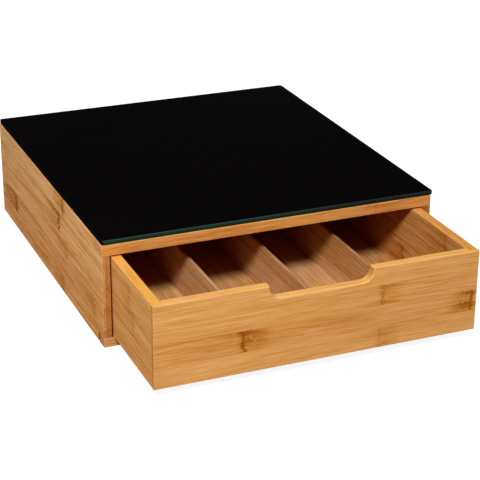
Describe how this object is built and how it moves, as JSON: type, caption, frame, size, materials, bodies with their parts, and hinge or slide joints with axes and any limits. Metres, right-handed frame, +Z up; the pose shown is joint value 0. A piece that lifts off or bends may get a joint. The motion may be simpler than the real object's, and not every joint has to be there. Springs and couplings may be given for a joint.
{
  "type": "coffee capsule drawer",
  "caption": "Low bamboo box with a black glass top and a wide sliding drawer split into long channels for coffee capsules, opened by a finger notch.",
  "frame": {"origin": "middle of the case's lower front edge, on the surface that the case stands on", "axes": "+X to the right seen from the front, +Y from front to back, +Z up; the drawer slides out along -Y"},
  "size_m": [0.3118, 0.436, 0.0983],
  "materials": {
    "case_bamboo": "satin lacquer",
    "drawer_bamboo": "satin lacquer",
    "thin_bamboo": "plain sanded",
    "dowel_wood": "plain",
    "black_glass": "polished, painted black underneath",
    "clear_adhesive": "clear soft silicone"
  },
  "bodies": {
    "case": {"case_side_left": "case_bamboo", "case_side_right": "case_bamboo", "case_top_rail": "case_bamboo", "case_bottom_rail": "case_bamboo", "case_back": "case_bamboo", "case_top_panel": "thin_bamboo", "case_floor_panel": "thin_bamboo", "case_rail_dowels": "dowel_wood", "case_back_dowels": "dowel_wood", "glass_top": "black_glass", "glass_dots": "clear_adhesive"},
    "drawer": {"drawer_front": "drawer_bamboo", "drawer_side_left": "drawer_bamboo", "drawer_side_right": "drawer_bamboo", "drawer_back": "drawer_bamboo", "drawer_floor": "thin_bamboo", "drawer_back_dowels": "dowel_wood", "divider_left": "thin_bamboo", "divider_centre": "thin_bamboo", "divider_right": "thin_bamboo"}
  },
  "joints": [
    {"name": "drawer_slide", "type": "slide", "parent": "case", "child": "drawer", "axis": [0, -1, 0], "range_m": [-0.101, 0.144]}
  ]
}
